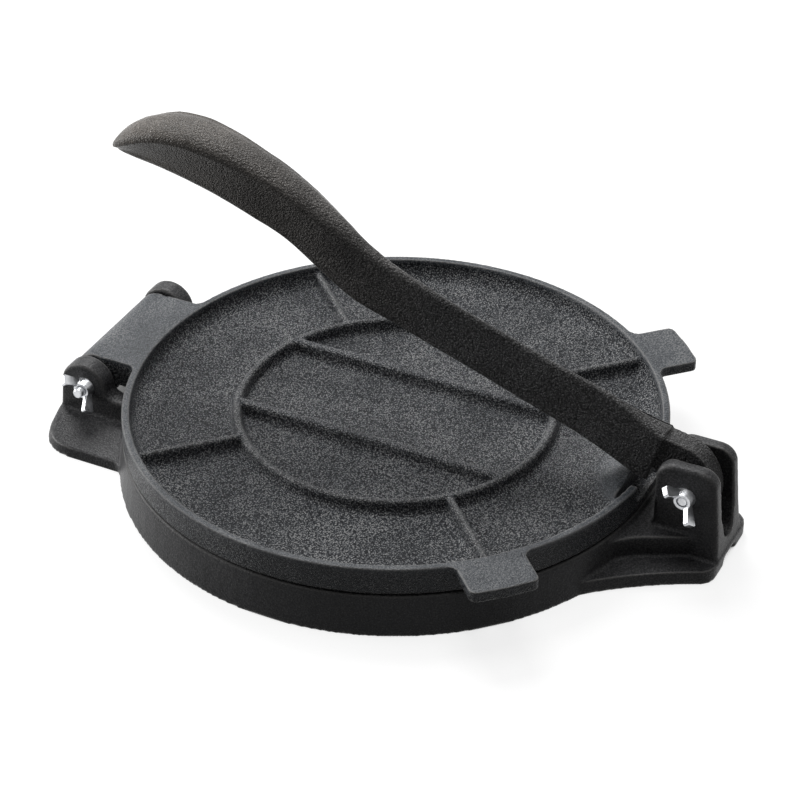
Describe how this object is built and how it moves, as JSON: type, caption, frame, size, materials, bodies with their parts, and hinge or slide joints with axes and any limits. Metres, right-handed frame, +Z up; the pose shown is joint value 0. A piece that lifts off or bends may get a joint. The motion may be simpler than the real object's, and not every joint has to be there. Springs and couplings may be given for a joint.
{
  "type": "tortilla_press",
  "caption": "Round cast-iron tortilla press: a ribbed plate hinged to a flat base, pressed down by a long curved lever held in a fork opposite the hinge.",
  "frame": {"origin": "middle of the press's length and width, on the surface it stands on", "axes": "+X from the plate hinge to the lever fork along the press's length, +Y to the bolt heads' side, +Z up"},
  "size_m": [0.3266, 0.2594, 0.1552],
  "materials": {
    "seasoned_iron": "matte",
    "bright_zinc": "polished"
  },
  "bodies": {
    "base_body": {"base": "seasoned_iron", "hinge_bolt": "bright_zinc", "lever_bolt": "bright_zinc"},
    "plate_body": {"top_plate": "seasoned_iron"},
    "lever_body": {"lever": "seasoned_iron"},
    "hinge_nut_body": {"hinge_wing_nut": "bright_zinc"},
    "lever_nut_body": {"lever_wing_nut": "bright_zinc"}
  },
  "joints": [
    {"name": "lever_pivot", "type": "hinge", "parent": "base_body", "child": "lever_body", "pos_m": [0.1453, 0, 0.037], "axis": [0, 1, 0], "range_deg": [0, 160]},
    {"name": "plate_hinge", "type": "hinge", "parent": "base_body", "child": "plate_body", "pos_m": [-0.1467, 0, 0.0242], "axis": [0, -1, 0], "range_deg": [0, 110]},
    {"name": "hinge_nut_turn", "type": "hinge", "parent": "base_body", "child": "hinge_nut_body", "pos_m": [-0.1467, -0.0424, 0.0242], "axis": [0, 1, 0], "continuous": true},
    {"name": "lever_nut_turn", "type": "hinge", "parent": "base_body", "child": "lever_nut_body", "pos_m": [0.1453, -0.0144, 0.037], "axis": [0, 1, 0], "continuous": true}
  ],
  "couplings": [
    {"joint": "plate_hinge", "follows": "lever_pivot", "ratio": 0.125}
  ]
}
